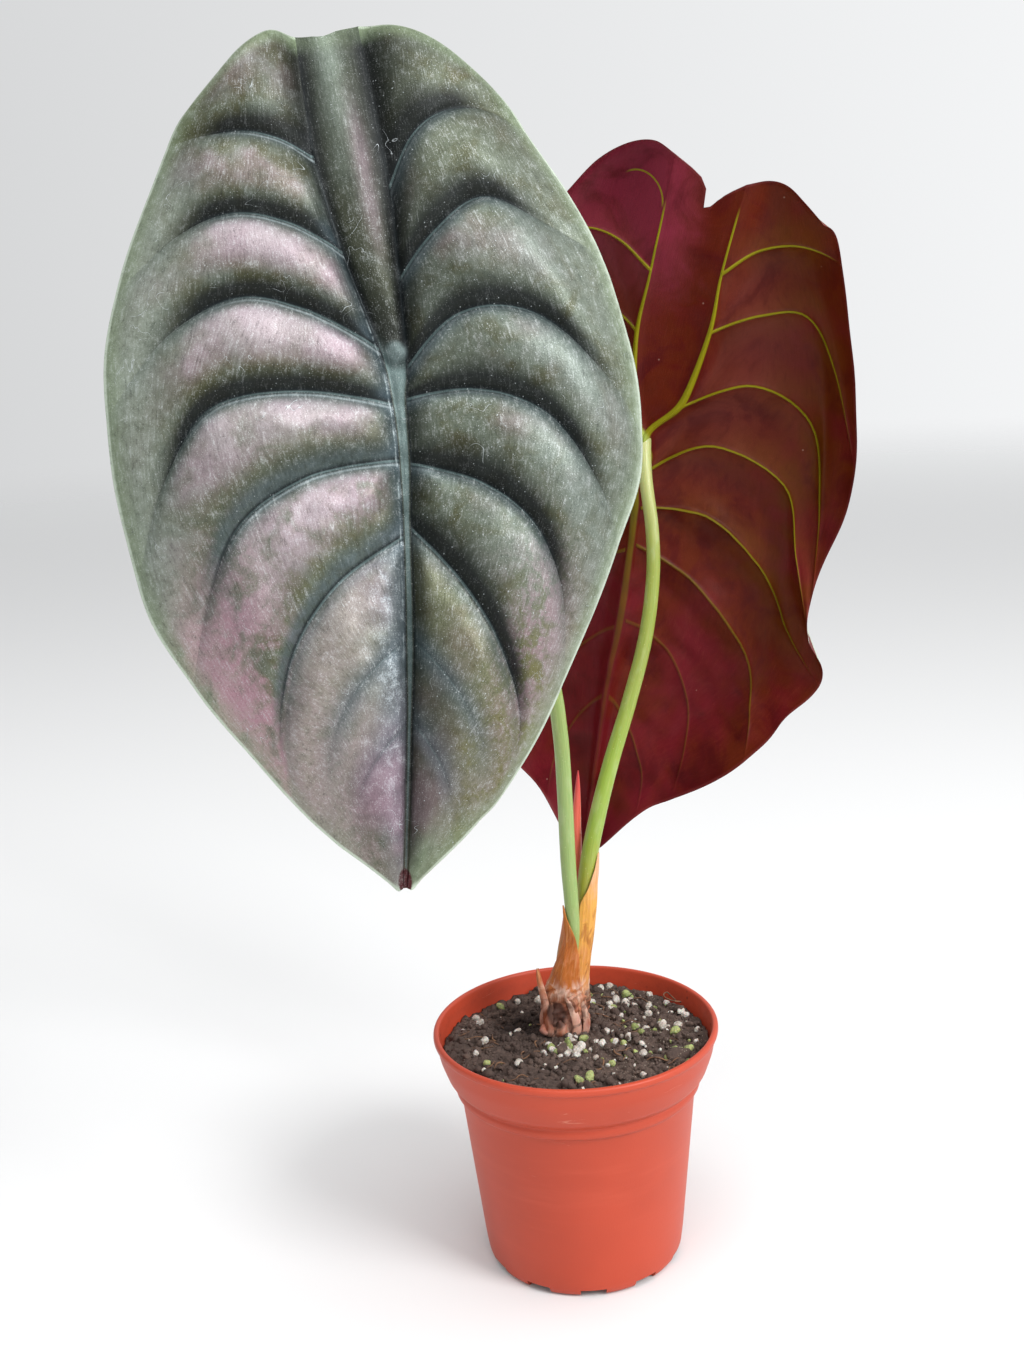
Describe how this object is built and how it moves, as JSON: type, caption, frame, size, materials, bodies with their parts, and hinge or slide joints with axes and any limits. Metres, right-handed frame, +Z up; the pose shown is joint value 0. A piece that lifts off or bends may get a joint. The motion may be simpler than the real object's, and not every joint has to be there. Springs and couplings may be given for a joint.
{
  "type": "potted red secret alocasia",
  "caption": "Potted jewel alocasia: quilted shield leaves, metallic above and burgundy below, on slim stalks in a small notched plastic nursery pot.",
  "frame": {"origin": "middle of the pot's underside, where the pot stands", "axes": "+Z up the plant, -Y towards the side that the front leaf's upper face looks to, +X to the right of it"},
  "size_m": [0.2043, 0.1561, 0.3678],
  "materials": {
    "pot_plastic": "satin moulded plastic, lightly scuffed",
    "potting_soil": "crumbly moist peat with perlite",
    "stem_bark": "rough and papery",
    "front_stalk": "smooth and waxy",
    "back_stalk": "smooth and waxy",
    "front_blade": "metallic satin above, burgundy below",
    "back_blade": "metallic satin above, burgundy below",
    "young_leaf": "smooth and waxy",
    "dry_sheath": "dry, thin and streaked"
  },
  "bodies": {
    "root": {"pot": "pot_plastic", "soil": "potting_soil", "stem": "stem_bark", "petiole_front": "front_stalk", "petiole_back": "back_stalk", "leaf_front": "front_blade", "leaf_back": "back_blade", "new_shoot": "young_leaf", "sheath_left": "dry_sheath", "sheath_right": "dry_sheath"}
  },
  "joints": []
}
